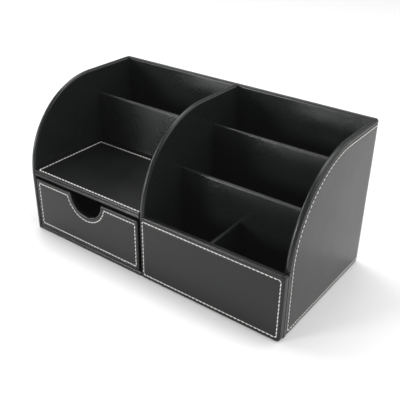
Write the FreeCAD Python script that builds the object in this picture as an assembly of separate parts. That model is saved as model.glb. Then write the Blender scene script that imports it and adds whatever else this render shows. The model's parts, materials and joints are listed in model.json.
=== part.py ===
import FreeCAD, Part
import os
from math import sqrt

# Desk organiser with a drawer: boards wrapped in black leather cloth, with white saddle stitching.
# The left half holds a drawer under an open tray, with a tall slot behind. The right half holds two
# short pockets behind a low front panel, a middle slot and a tall back slot.
# Millimetres. X runs along the width, Y from the front to the back, Z up. The origin is the centre
# of the footprint, on the surface that the organiser stands on. The drawer is shut.

# Overall form
overall_width = 254.6
overall_depth = 129.6
overall_height = 130.0
side_arc_radius = 76.0

# Sheet goods
leather = 0.7
felt = 0.6
wall_board = 3.0
panel_board = 4.4
shelf_board_thickness = 4.4
partition_board = 2.0
base_board_thickness = 2.8
floor_leather = 0.6
felt_margin = 2.0
rim_leather_at_edge = 1.2
flat_left_on_rim = 0.2
corner_beyond_rim = 0.5
divider_cope = 0.9

# Layout of the left half
divider_left_face = -2.7
shelf_top = 60.0
left_slot_front = 83.4
left_partition_top = 106.5

# Layout of the right half
panel_top = 57.2
middle_partition_front = 47.3
middle_partition_top = 82.2
rear_partition_front = 90.2
rear_partition_top = 105.5
small_divider_centre = 59.0
small_divider_drop = 4.6

# Drawer
drawer_front_board = 3.6
drawer_top_gap = 2.6
drawer_left_gap = 0.8
drawer_right_gap = 2.1
drawer_front_lift = 0.5
drawer_seat_gap = 0.3
drawer_box_inset = 0.8
drawer_wall = 2.6
drawer_floor_thickness = 2.2
drawer_lining_thickness = 0.6
drawer_wall_drop = 8.6
drawer_rear_gap = 3.0
notch_radius = 17.3
notch_centre_rise = 0.1
notch_shift = 1.45
notch_shoulder_radius = 2.0
drawer_edge_radius = 1.5
drawer_rear_edge_radius = 1.0

# Stitching
thread_width = 0.8
thread_depth = 0.5
thread_proud = 0.15
wrap_seam_inset = 3.5
wrap_seam_width = 0.4
wrap_seam_depth = 0.35
wrap_stitch_inset = 5.0
wrap_stitch_height = 3.8
panel_stitch_left = 2.7
panel_stitch_right = 2.8
panel_stitch_bottom = 3.0
panel_stitch_top = 4.0
drawer_stitch_inset = 3.6
drawer_stitch_right = 2.7
notch_stitch_inset = 3.9
shelf_stitch_left = 4.2
shelf_stitch_right = 1.1
shelf_stitch_front = 1.8
shelf_stitch_back = 6.4
stitch_corner_radius = 1.6

# Edge roundings
panel_corner_radius = 1.6
panel_bottom_radius = 0.6
shelf_front_radius = 1.4
floor_front_radius = 1.0

# Sizes that follow from the ones above
half_width = overall_width / 2
front = -overall_depth / 2
back = overall_depth / 2
wall = wall_board + 2 * leather
panel = panel_board + 2 * leather
shelf = shelf_board_thickness + 2 * leather
partition = partition_board + 2 * leather
drawer_front = drawer_front_board + 2 * leather
rim_radius = (wall - flat_left_on_rim) / 2
back_corner_radius = rim_radius + corner_beyond_rim
partition_rim_radius = (partition - flat_left_on_rim) / 2
floor_top = felt + base_board_thickness + floor_leather
panel_back = front + panel
inner_back = back - wall
bay_left = -half_width + wall
bay_right = divider_left_face
divider_right_face = divider_left_face + wall
right_inner = half_width - wall
shelf_bottom = shelf_top - shelf
small_divider_top = panel_top - small_divider_drop
left_partition_y = front + left_slot_front
middle_partition_y = front + middle_partition_front
rear_partition_y = front + rear_partition_front
drawer_front_top = shelf_bottom - drawer_top_gap
drawer_wall_top = drawer_front_top - drawer_wall_drop
drawer_left = bay_left + drawer_left_gap
drawer_right = bay_right - drawer_right_gap
drawer_front_bottom = floor_top + drawer_front_lift
drawer_back_of_front = front + drawer_front
drawer_box_bottom = floor_top + drawer_seat_gap
drawer_box_left = drawer_left + drawer_box_inset
drawer_box_right = drawer_right - drawer_box_inset
drawer_box_back = left_partition_y - drawer_rear_gap
notch_centre = (drawer_left + drawer_right) / 2 + notch_shift
diagonal = sqrt(0.5)
beyond = 5.0
touching = 1e-4


def point(x, y, z):
    """A place, or a way to go."""
    return FreeCAD.Vector(x, y, z)


def block(x0, x1, y0, y1, z0, z1):
    """A box between two corners."""
    return Part.makeBox(x1 - x0, y1 - y0, z1 - z0, point(x0, y0, z0))


def same(a, b):
    """True for two lengths that are equal but for rounding."""
    return abs(a - b) < touching


def middle(edge):
    """The point half way along an edge."""
    return edge.valueAt((edge.FirstParameter + edge.LastParameter) / 2)


def outline(curves):
    """A flat face inside a closed run of lines and arcs."""
    return Part.Face(Part.Wire([curve.toShape() for curve in curves]))


def side_profile(x, front_edge, inset, bottom, rear):
    """The side of a wall: upright front edge, a quarter turn, then level to the back.

    The rim is drawn in by inset.
    """
    arc_end = front_edge + side_arc_radius
    arc_height = overall_height - side_arc_radius
    turn = (side_arc_radius - inset) * diagonal
    foot = point(x, front_edge + inset, bottom)
    arc_start = point(x, front_edge + inset, arc_height)
    arc_middle = point(x, arc_end - turn, arc_height + turn)
    arc_stop = point(x, arc_end, overall_height - inset)
    top_back = point(x, rear, overall_height - inset)
    bottom_back = point(x, rear, bottom)
    return outline([
        Part.LineSegment(foot, arc_start),
        Part.Arc(arc_start, arc_middle, arc_stop),
        Part.LineSegment(arc_stop, top_back),
        Part.LineSegment(top_back, bottom_back),
        Part.LineSegment(bottom_back, foot),
    ])


def rounded_outline(u0, u1, v0, v1, radius, place):
    """A rectangle with rounded corners, laid in space by place(u, v)."""
    share = radius * (1 - diagonal)
    corners = [
        ((u0, v0 + radius), (u0 + share, v0 + share), (u0 + radius, v0)),
        ((u1 - radius, v0), (u1 - share, v0 + share), (u1, v0 + radius)),
        ((u1, v1 - radius), (u1 - share, v1 - share), (u1 - radius, v1)),
        ((u0 + radius, v1), (u0 + share, v1 - share), (u0, v1 - radius)),
    ]
    curves = []
    for number, corner in enumerate(corners):
        start, bend, stop = [place(*uv) for uv in corner]
        following = place(*corners[(number + 1) % 4][0])
        curves.append(Part.Arc(start, bend, stop))
        curves.append(Part.LineSegment(stop, following))
    return outline(curves)


def ring(outer, inner, direction):
    """The band between two flat outlines, given a thickness."""
    return outer.extrude(direction).cut(inner.extrude(direction))


def has_rim(edge, bottom):
    """True for an edge between a wall's side and its rim: its front, its curve or its top."""
    first = edge.Vertexes[0]
    last = edge.Vertexes[-1]
    across = same(abs(last.X - first.X), wall) and same(first.Y, last.Y)
    at_foot = same(first.Z, bottom) and same(last.Z, bottom)
    upright = same(first.X, last.X) and same(first.Y, last.Y)
    in_rear_half = first.Y > 0
    return not across and not at_foot and not (upright and in_rear_half)


def rounded_rim(plain, bottom):
    """The same walls with their rims rounded."""
    return plain.makeFillet(rim_radius, [edge for edge in plain.Edges if has_rim(edge, bottom)])


def perimeter_block(grow):
    """The footprint with its two back corners rounded, taller than the organiser."""
    solid = block(-half_width - grow, half_width + grow, front - beyond, back + grow,
                  -beyond, overall_height + beyond)
    corners = [edge for edge in solid.Edges
               if same(middle(edge).y, back + grow) and same(middle(edge).z, overall_height / 2)]
    return solid.makeFillet(back_corner_radius + grow, corners)


def perimeter_sheet(grow, thickness):
    """A sheet bent round both back corners; its outer face stands proud of the walls by grow."""
    return perimeter_block(grow).cut(perimeter_block(grow - thickness))


def perimeter_limit(inset, bottom):
    """What lies inside the side profiles of the outer walls, drawn in by inset."""
    rear = back + beyond
    reach = half_width + beyond
    left = side_profile(-reach, front, inset, bottom, rear).extrude(point(reach, 0, 0))
    right = side_profile(0, panel_back, inset, bottom, rear).extrude(point(reach, 0, 0))
    return left.fuse(right)


def outer_walls():
    """The left wall, the back and the right wall as one body with a rounded rim.

    Behind the front panel the right wall's front stays square.
    """
    across = point(wall, 0, 0)
    left = side_profile(-half_width, front, 0.0, felt, back).extrude(across)
    right = side_profile(right_inner, panel_back, 0.0, felt, back).extrude(across)
    rear = block(bay_left, right_inner, inner_back, back, felt, overall_height)
    plain = left.fuse(right).fuse(rear).removeSplitter()
    corners = [edge for edge in plain.Edges
               if same(abs(middle(edge).x), half_width) and same(middle(edge).y, back)
               and same(edge.Vertexes[0].X, edge.Vertexes[-1].X)]
    body = rounded_rim(plain.makeFillet(back_corner_radius, corners), felt)
    foot = plain.common(block(right_inner, half_width, panel_back, 0, felt, panel_top))
    return body.fuse(foot).removeSplitter()


def wall_core(x0, x1, front_edge, rear, bottom):
    """The board inside a wall's leather."""
    profile = side_profile(x0 + leather, front_edge, rim_leather_at_edge, bottom, rear)
    return profile.extrude(point(x1 - x0 - 2 * leather, 0, 0))


def upright_partition(x0, x1, y0, y1, top):
    """A board across a compartment and the leather folded over it, with a rounded top."""
    along_x = x1 - x0 > y1 - y0
    body = block(x0, x1, y0, y1, floor_top, top)
    tops = []
    for edge in body.Edges:
        length_x = edge.BoundBox.XLength
        length_y = edge.BoundBox.YLength
        runs_along = length_x > length_y if along_x else length_y > length_x
        if same(middle(edge).z, top) and runs_along:
            tops.append(edge)
    body = body.makeFillet(partition_rim_radius, tops)
    if along_x:
        core = block(x0, x1, y0 + leather, y1 - leather, floor_top, top - rim_leather_at_edge)
    else:
        core = block(x0 + leather, x1 - leather, y0, y1, floor_top, top - rim_leather_at_edge)
    return core, body.cut(core)


def outer_leather():
    """The stitched sheet over the left wall, the back and the right wall, its seam and its thread.

    The seam is the shallow valley where the sheet meets the leather folded over the rims.
    """
    sheet = perimeter_sheet(0.0, leather).common(perimeter_limit(wrap_seam_inset, felt))
    half_seam = wrap_seam_width / 2
    seam = perimeter_limit(wrap_seam_inset - half_seam, felt).cut(
        perimeter_limit(wrap_seam_inset + half_seam, felt))
    seam = perimeter_sheet(0.0, wrap_seam_depth).common(seam)
    half = thread_width / 2
    outside = perimeter_limit(wrap_stitch_inset - half, wrap_stitch_height - half)
    inside = perimeter_limit(wrap_stitch_inset + half, wrap_stitch_height + half)
    thread = perimeter_sheet(thread_proud, thread_depth).common(outside.cut(inside))
    return sheet, seam, thread


def side_wall(x0, x1, front_edge, walls, sheet):
    """One outer wall: its board, and the leather that lines it and folds over its rim."""
    body = walls.common(block(x0, x1, front, back, 0, overall_height))
    core = wall_core(x0, x1, front_edge, back - leather, felt).common(perimeter_block(-leather))
    return core, body.cut(core).cut(sheet)


def back_wall(walls, sheet):
    """The back: its board between the outer walls, and its lining folded over the top."""
    body = walls.common(block(bay_left, right_inner, inner_back, back, 0, overall_height))
    core = block(bay_left, right_inner, inner_back + leather, back - leather,
                 felt, overall_height - rim_leather_at_edge)
    return core, body.cut(core).cut(sheet)


def divider(walls):
    """The wall between the halves. The front panel covers its foot, and the back's rim its end."""
    rear = inner_back + divider_cope
    across = point(wall, 0, 0)
    plain = side_profile(divider_left_face, front, 0.0, floor_top, rear).extrude(across)
    room = block(divider_left_face, divider_right_face, front - beyond, panel_back,
                 floor_top - beyond, panel_top)
    body = rounded_rim(plain, floor_top).cut(room).cut(walls)
    core = wall_core(divider_left_face, divider_right_face, front, inner_back, floor_top)
    core_room = block(divider_left_face, divider_right_face, front - beyond, panel_back,
                      floor_top - beyond, panel_top + leather)
    core = core.cut(core_room)
    return core, body.cut(core)


def front_panel():
    """The low panel in front of the right half: its board, its stitched cover and the thread."""
    body = block(divider_left_face, half_width, front, panel_back, felt, panel_top)
    tops = [edge for edge in body.Edges
            if same(middle(edge).z, panel_top) and not same(middle(edge).x, divider_left_face)]
    front_corners = [edge for edge in body.Edges
                     if same(middle(edge).y, front) and edge.BoundBox.ZLength > panel]
    body = body.makeFillet(panel_corner_radius, tops + front_corners)
    feet = [edge for edge in body.Edges if same(middle(edge).z, felt) and same(middle(edge).y, front)]
    body = body.makeFillet(panel_bottom_radius, feet)
    core = block(divider_left_face + rim_leather_at_edge, half_width - rim_leather_at_edge,
                 front + leather, panel_back - leather, felt, panel_top - rim_leather_at_edge)
    half = thread_width / 2
    y = front - thread_proud

    def loop(widen):
        return rounded_outline(divider_left_face + panel_stitch_left - widen,
                               half_width - panel_stitch_right + widen,
                               felt + panel_stitch_bottom - widen,
                               panel_top - panel_stitch_top + widen,
                               stitch_corner_radius + widen, lambda u, v: point(u, y, v))

    thread = ring(loop(half), loop(-half), point(0, thread_depth, 0))
    return core, body.cut(core).cut(thread), thread


def shelf_over_drawer():
    """The tray's floor over the drawer: its board, its stitched cover and the thread."""
    body = block(bay_left, bay_right, front, left_partition_y, shelf_bottom, shelf_top)
    nose = [edge for edge in body.Edges
            if same(middle(edge).y, front) and edge.BoundBox.XLength > shelf]
    body = body.makeFillet(shelf_front_radius, nose)
    core = block(bay_left, bay_right, front + rim_leather_at_edge, left_partition_y,
                 shelf_bottom + leather, shelf_top - leather)
    half = thread_width / 2
    z = shelf_top + thread_proud

    def loop(widen):
        return rounded_outline(bay_left + shelf_stitch_left - widen,
                               bay_right - shelf_stitch_right + widen,
                               front + shelf_stitch_front - widen,
                               left_partition_y - shelf_stitch_back + widen,
                               stitch_corner_radius + widen, lambda u, v: point(u, v, z))

    thread = ring(loop(half), loop(-half), point(0, 0, -thread_depth))
    return core, body.cut(core).cut(thread), thread


def drawer_outline(inset, right_inset, notch_inset, bottom, y):
    """The drawer front seen from the front: a rectangle with a half-moon notch in its top edge."""
    left = drawer_left + inset
    right = drawer_right - right_inset
    top = drawer_front_top - inset
    rise = drawer_front_top + notch_centre_rise
    radius = notch_radius + notch_inset
    shoulder = max(notch_shoulder_radius - notch_inset, stitch_corner_radius / 2)
    reach = sqrt((radius + shoulder) ** 2 - (rise - top + shoulder) ** 2)
    share = radius / (radius + shoulder)

    def shoulder_points(side):
        centre_x = notch_centre + side * reach
        centre_z = top - shoulder
        on_top = point(centre_x, y, top)
        on_notch = point(notch_centre + side * reach * share, y, rise + (centre_z - rise) * share)
        mean_x = (on_top.x + on_notch.x) / 2 - centre_x
        mean_z = (on_top.z + on_notch.z) / 2 - centre_z
        scale = shoulder / sqrt(mean_x ** 2 + mean_z ** 2)
        bend = point(centre_x + mean_x * scale, y, centre_z + mean_z * scale)
        return on_top, bend, on_notch

    left_top, left_bend, left_notch = shoulder_points(-1)
    right_top, right_bend, right_notch = shoulder_points(1)
    corner_a = point(left, y, top)
    corner_b = point(left, y, bottom)
    corner_c = point(right, y, bottom)
    corner_d = point(right, y, top)
    return outline([
        Part.LineSegment(corner_a, corner_b),
        Part.LineSegment(corner_b, corner_c),
        Part.LineSegment(corner_c, corner_d),
        Part.LineSegment(corner_d, right_top),
        Part.Arc(right_top, right_bend, right_notch),
        Part.Arc(right_notch, point(notch_centre, y, rise - radius), left_notch),
        Part.Arc(left_notch, left_bend, left_top),
        Part.LineSegment(left_top, corner_a),
    ])


def drawer_face():
    """The drawer's front: its board, its stitched cover and the thread."""
    body = drawer_outline(0.0, 0.0, 0.0, drawer_front_bottom, front).extrude(point(0, drawer_front, 0))
    front_edges = [edge for edge in body.Edges if same(edge.BoundBox.YMax, front)]
    body = body.makeFillet(drawer_edge_radius, front_edges)
    rear_tops = [edge for edge in body.Edges
                 if same(edge.BoundBox.YMin, drawer_back_of_front)
                 and not same(middle(edge).z, drawer_front_bottom) and edge.BoundBox.XLength > touching]
    body = body.makeFillet(drawer_rear_edge_radius, rear_tops)
    core = drawer_outline(rim_leather_at_edge, rim_leather_at_edge, rim_leather_at_edge,
                          drawer_front_bottom, front + leather)
    core = core.extrude(point(0, drawer_front_board, 0))
    half = thread_width / 2
    y = front - thread_proud

    def loop(widen):
        foot = drawer_front_bottom + drawer_stitch_inset - widen
        return drawer_outline(drawer_stitch_inset - widen, drawer_stitch_right - widen,
                              notch_stitch_inset - widen, foot, y)

    thread = ring(loop(half), loop(-half), point(0, thread_depth, 0))
    return core, body.cut(core).cut(thread), thread


def drawer_box():
    """The drawer behind its front: two sides, a back, a floor and the floor's lining."""
    inner_left = drawer_box_left + drawer_wall
    inner_right = drawer_box_right - drawer_wall
    inner_rear = drawer_box_back - drawer_wall
    floor = drawer_box_bottom + drawer_floor_thickness
    y0 = drawer_back_of_front
    return {
        "drawer_left_side": block(drawer_box_left, inner_left, y0, drawer_box_back,
                                  drawer_box_bottom, drawer_wall_top),
        "drawer_right_side": block(inner_right, drawer_box_right, y0, drawer_box_back,
                                   drawer_box_bottom, drawer_wall_top),
        "drawer_back": block(inner_left, inner_right, inner_rear, drawer_box_back,
                             drawer_box_bottom, drawer_wall_top),
        "drawer_floor": block(inner_left, inner_right, y0, inner_rear, drawer_box_bottom, floor),
        "drawer_lining": block(inner_left, inner_right, y0, inner_rear,
                               floor, floor + drawer_lining_thickness),
    }


def soften_drawer_walls(pieces):
    """Round the top edges of the drawer's thin walls."""
    for name in ("drawer_left_side", "drawer_right_side", "drawer_back"):
        solid = pieces[name]
        long_side = max(solid.BoundBox.XLength, solid.BoundBox.YLength)
        tops = [edge for edge in solid.Edges
                if same(middle(edge).z, drawer_wall_top) and edge.Length > long_side / 2]
        pieces[name] = solid.makeFillet((drawer_wall - flat_left_on_rim) / 2, tops)
    return pieces


def base():
    """The bottom: a board, the leather on it that turns down over its front, and felt below."""
    left = block(bay_left, bay_right, front + floor_leather, inner_back, felt, floor_top - floor_leather)
    right = block(bay_right, right_inner, panel_back, inner_back, felt, floor_top - floor_leather)
    board = left.fuse(right).removeSplitter()
    left_cover = block(bay_left, bay_right, front, inner_back, felt, floor_top)
    nose = [edge for edge in left_cover.Edges
            if same(middle(edge).y, front) and same(edge.Vertexes[0].Z, edge.Vertexes[-1].Z)]
    left_cover = left_cover.makeFillet(floor_front_radius, nose)
    right_cover = block(bay_right, right_inner, panel_back, inner_back, felt, floor_top)
    cover = left_cover.fuse(right_cover).cut(board).removeSplitter()
    pad = block(-half_width + felt_margin, half_width - felt_margin,
                front + felt_margin, back - felt_margin, 0, felt)
    return board, cover, pad


def build():
    """Every piece by name."""
    pieces = {}
    sheet, seam, thread = outer_leather()
    pieces["outer_cover"] = sheet.cut(thread).cut(seam)
    pieces["outer_cover_thread"] = thread
    walls = outer_walls().cut(seam)
    pieces["left_wall_board"], pieces["left_wall_lining"] = side_wall(
        -half_width, bay_left, front, walls, sheet)
    pieces["right_wall_board"], pieces["right_wall_lining"] = side_wall(
        right_inner, half_width, panel_back, walls, sheet)
    pieces["back_board"], pieces["back_lining"] = back_wall(walls, sheet)
    pieces["divider_board"], pieces["divider_wrap"] = divider(walls)
    pieces["front_panel_board"], pieces["front_panel_cover"], pieces["front_panel_thread"] = front_panel()
    pieces["shelf_board"], pieces["shelf_cover"], pieces["shelf_thread"] = shelf_over_drawer()
    pieces["base_board"], pieces["floor_cover"], pieces["base_felt"] = base()
    partitions = {
        "left_partition": (bay_left, bay_right, left_partition_y,
                           left_partition_y + partition, left_partition_top),
        "middle_partition": (divider_right_face, right_inner, middle_partition_y,
                             middle_partition_y + partition, middle_partition_top),
        "rear_partition": (divider_right_face, right_inner, rear_partition_y,
                           rear_partition_y + partition, rear_partition_top),
        "pocket_divider": (small_divider_centre - partition / 2, small_divider_centre + partition / 2,
                           panel_back, middle_partition_y, small_divider_top),
    }
    for name, sizes in partitions.items():
        pieces[name + "_board"], pieces[name + "_wrap"] = upright_partition(*sizes)
    drawer = drawer_face()
    pieces["drawer_front_board"], pieces["drawer_front_cover"], pieces["drawer_front_thread"] = drawer
    pieces.update(soften_drawer_walls(drawer_box()))
    return pieces


os.makedirs("parts", exist_ok=True)
for piece_name, piece_shape in build().items():
    print(piece_name, "solids", len(piece_shape.Solids), "valid", piece_shape.isValid(),
          "volume", round(piece_shape.Volume))
    piece_shape.exportStep("parts/" + piece_name + ".step")
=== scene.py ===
"""The looks of a desk organiser with a drawer: boards in black leather cloth, sewn in white.

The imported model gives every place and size. Each class dresses one sub-assembly of it. Lengths are
metres in the model's own frame: X runs along the width, Y from the front to the back, Z up.
"""

from __future__ import annotations

import json
import logging
import math
from bisect import bisect_right
from collections.abc import Callable
from dataclasses import dataclass, field
from enum import Enum
from typing import NamedTuple

import bpy
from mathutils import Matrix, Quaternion, Vector, noise
from mathutils.geometry import delaunay_2d_cdt
from mathutils.kdtree import KDTree

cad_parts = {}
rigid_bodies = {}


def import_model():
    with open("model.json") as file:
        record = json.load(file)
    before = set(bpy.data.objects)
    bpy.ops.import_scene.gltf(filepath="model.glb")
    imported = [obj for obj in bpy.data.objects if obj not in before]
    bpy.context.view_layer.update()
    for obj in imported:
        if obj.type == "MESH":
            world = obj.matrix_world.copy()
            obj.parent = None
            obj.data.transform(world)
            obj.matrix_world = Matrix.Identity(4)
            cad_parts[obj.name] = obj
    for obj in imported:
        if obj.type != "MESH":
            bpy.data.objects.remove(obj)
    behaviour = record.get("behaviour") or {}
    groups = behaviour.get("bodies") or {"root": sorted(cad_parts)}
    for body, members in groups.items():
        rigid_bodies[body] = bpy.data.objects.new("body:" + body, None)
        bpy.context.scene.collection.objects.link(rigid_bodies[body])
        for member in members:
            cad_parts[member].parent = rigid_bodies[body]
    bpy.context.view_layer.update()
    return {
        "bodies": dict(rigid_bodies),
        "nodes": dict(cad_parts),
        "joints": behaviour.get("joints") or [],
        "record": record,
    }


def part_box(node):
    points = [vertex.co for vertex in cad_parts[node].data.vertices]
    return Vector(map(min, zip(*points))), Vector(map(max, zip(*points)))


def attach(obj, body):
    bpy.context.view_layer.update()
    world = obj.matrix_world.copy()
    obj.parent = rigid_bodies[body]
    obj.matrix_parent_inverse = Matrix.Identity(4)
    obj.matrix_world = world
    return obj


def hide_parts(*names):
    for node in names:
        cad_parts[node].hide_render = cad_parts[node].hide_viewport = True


LOG = logging.getLogger("organiser")

MM = 0.001
QUARTER = math.pi / 2

# Sizes that several pieces share: the leather's thickness, the radius of the walls' front curve,
# the distance between thread holes, and how far leather hangs below the foot of its board.
LEATHER = 0.7 * MM
WALL_ARC = 76.0 * MM
STITCH_PITCH = 3.5 * MM
TURNED_UNDER = 0.1 * MM

# The points that fill a face keep this many grids clear of its edge, and less at a bend, where
# they stand in this many columns.
CLEAR_OF_EDGE = 0.5
CLEAR_AT_BEND = 0.3
BEND_PARTS = 8

# Points nearer than these are one point, in space and in a face that is filled.
WELD_DISTANCE = 1e-6
SAME_POINT = 1e-9
INSIDE_ONLY = 1

# Glued leather swells in long waves with smaller, quicker ones on them. Folds sharper than the
# angle stay crisp.
RIPPLE_SHARE = 0.35
RIPPLE_RATE = 3.1
SHARP_ANGLE = math.radians(50)

# A mix node has several sockets of one name, so its colours are taken by number.
COLOUR_A = 6
COLOUR_B = 7
MIXED_COLOUR = 2

Point = tuple[float, float]
Span = tuple[float, float]
Spot = tuple[float, float, float]
Row = tuple[float, ...]
Place = Callable[[float, float, float], Vector]
Faces = list[tuple[int, ...]]
Settings = dict[str | int, object]
Links = dict[str | int, bpy.types.NodeSocket]
Shading = tuple[Settings, Links]


class Body(Enum):
    """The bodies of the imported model."""

    CARCASS = "carcass"
    DRAWER = "drawer"


class Slot(Enum):
    """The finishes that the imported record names."""

    OUTER_LEATHER = "outer_leather"
    PANEL_LEATHER = "panel_leather"
    LINING_LEATHER = "lining_leather"
    THREAD = "thread"
    FIBREBOARD = "fibreboard"
    DRAWER_CARD = "drawer_card"
    DRAWER_FLOCK = "drawer_flock"
    FELT = "felt"


class Sides(NamedTuple):
    """How far a line is drawn in from each side of an outline."""

    left: float
    right: float
    bottom: float
    top: float
    notch: float = 0.0

    def shifted(self, by: float) -> Sides:
        """The same line drawn in further by one distance all round."""
        return Sides(*(side + by for side in self))

    def scaled(self, by: float) -> Sides:
        """Every side times one number."""
        return Sides(*(side * by for side in self))


class Ring(NamedTuple):
    """A closed line of leather on its board.

    inset says how far it is drawn in from the outline, depth how far it lies behind the show face,
    and dimple how much further it sinks at each thread hole.
    """

    inset: Sides
    depth: float
    dimple: float = 0.0


def between(start: Point, stop: Point, count: int) -> list[Point]:
    """The points that divide a straight run, without its two ends.

    Args:
        start: Where the run starts.
        stop: Where it stops.
        count: The number of parts that it is divided into.

    Returns:
        One point less than parts.
    """
    across, up = stop[0] - start[0], stop[1] - start[1]
    return [(start[0] + across * k / count, start[1] + up * k / count) for k in range(1, count)]


def turn(centre: Point, radius: float, first: float, last: float, count: int) -> list[Point]:
    """The points of an arc, with its two ends.

    Args:
        centre: The arc's centre.
        radius: Its radius.
        first: The angle that it starts at, in radians.
        last: The angle that it stops at.
        count: The number of parts that it is divided into.

    Returns:
        One more point than parts.
    """
    angles = [first + (last - first) * k / count for k in range(count + 1)]
    return [(centre[0] + radius * math.cos(a), centre[1] + radius * math.sin(a)) for a in angles]


@dataclass(frozen=True)
class Outline:
    """The edge of a face that leather covers, as a closed line with points this far apart."""

    spacing: float = field(default=0.9 * MM, kw_only=True)

    def parts(self, length: float) -> int:
        """The number of parts that a run of this length is divided into."""
        return max(2, round(length / self.spacing))

    def run(self, start: Point, stop: Point, length: float) -> list[Point]:
        """A straight run without its ends, in the parts that its full length asks for."""
        return between(start, stop, self.parts(length))

    def points(self, inset: Sides) -> list[Point]:
        """The outline drawn in by inset, counter-clockwise from its bottom left."""
        raise NotImplementedError


@dataclass(frozen=True)
class Rectangle(Outline):
    """A rectangular outline with rounded corners."""

    left: float
    right: float
    bottom: float
    top: float
    corner: float = 0.5 * MM
    least_corner: float = 0.3 * MM
    corner_parts: int = 6

    def points(self, inset: Sides) -> list[Point]:
        """The outline drawn in by inset, counter-clockwise from its bottom left.

        Args:
            inset: How far it is drawn in from each side.

        Returns:
            The points of the closed line.
        """
        x0, x1 = self.left + inset.left, self.right - inset.right
        y0, y1 = self.bottom + inset.bottom, self.top - inset.top
        beside = (
            (x0, y0, 1, 1, max(inset.left, inset.bottom)),
            (x1, y0, -1, 1, max(inset.right, inset.bottom)),
            (x1, y1, -1, -1, max(inset.right, inset.top)),
            (x0, y1, 1, -1, max(inset.left, inset.top)),
        )
        arcs = []
        for number, (x, y, inward_x, inward_y, drawn) in enumerate(beside):
            radius = max(self.corner - drawn, self.least_corner)
            centre = (x + inward_x * radius, y + inward_y * radius)
            first = math.pi * (1 + number / 2)
            arcs.append(turn(centre, radius, first, first + QUARTER, self.corner_parts))
        width, height = self.right - self.left, self.top - self.bottom
        return (
            arcs[0] + self.run(arcs[0][-1], arcs[1][0], width)
            + arcs[1] + self.run(arcs[1][-1], arcs[2][0], height)
            + arcs[2] + self.top_run(arcs[2][-1], arcs[3][0], inset)
            + arcs[3] + self.run(arcs[3][-1], arcs[0][0], height)
        )

    def top_run(self, start: Point, stop: Point, inset: Sides) -> list[Point]:
        """The run along the top, from right to left, without its ends."""
        return self.run(start, stop, self.right - self.left)


@dataclass(frozen=True)
class NotchedRectangle(Rectangle):
    """A rectangle with a half-moon finger notch in its top side, and soft shoulders beside it."""

    notch_centre: float = 0.0
    notch_radius: float = 17.3 * MM
    notch_rise: float = 0.1 * MM
    shoulder: float = 2.0 * MM
    least_shoulder: float = 0.8 * MM
    shoulder_parts: int = 6
    notch_parts: int = 60

    def top_run(self, start: Point, stop: Point, inset: Sides) -> list[Point]:
        """The run along the top, down round the notch and on, from right to left.

        Args:
            start: Where the top starts, at its right.
            stop: Where it stops, at its left.
            inset: How far the outline is drawn in.

        Returns:
            The points without the two ends.
        """
        level = start[1]
        rise = self.top + self.notch_rise
        radius = self.notch_radius + inset.notch
        shoulder = max(self.shoulder - inset.notch, self.least_shoulder)
        drop = level - shoulder - rise
        reach = math.sqrt((radius + shoulder) ** 2 - drop ** 2)
        lean = math.atan2(-drop, reach)
        right = (self.notch_centre + reach, level - shoulder)
        left = (self.notch_centre - reach, level - shoulder)
        down = turn(right, shoulder, QUARTER, math.pi - lean, self.shoulder_parts)
        bowl = turn((self.notch_centre, rise), radius, -lean, lean - math.pi, self.notch_parts)
        up = turn(left, shoulder, lean, QUARTER, self.shoulder_parts)
        beside = (self.right - self.left) / 2 - self.notch_radius
        return [*self.run(start, down[0], beside), *down, *bowl[1:-1], *up,
                *self.run(up[-1], stop, beside)]


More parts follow.
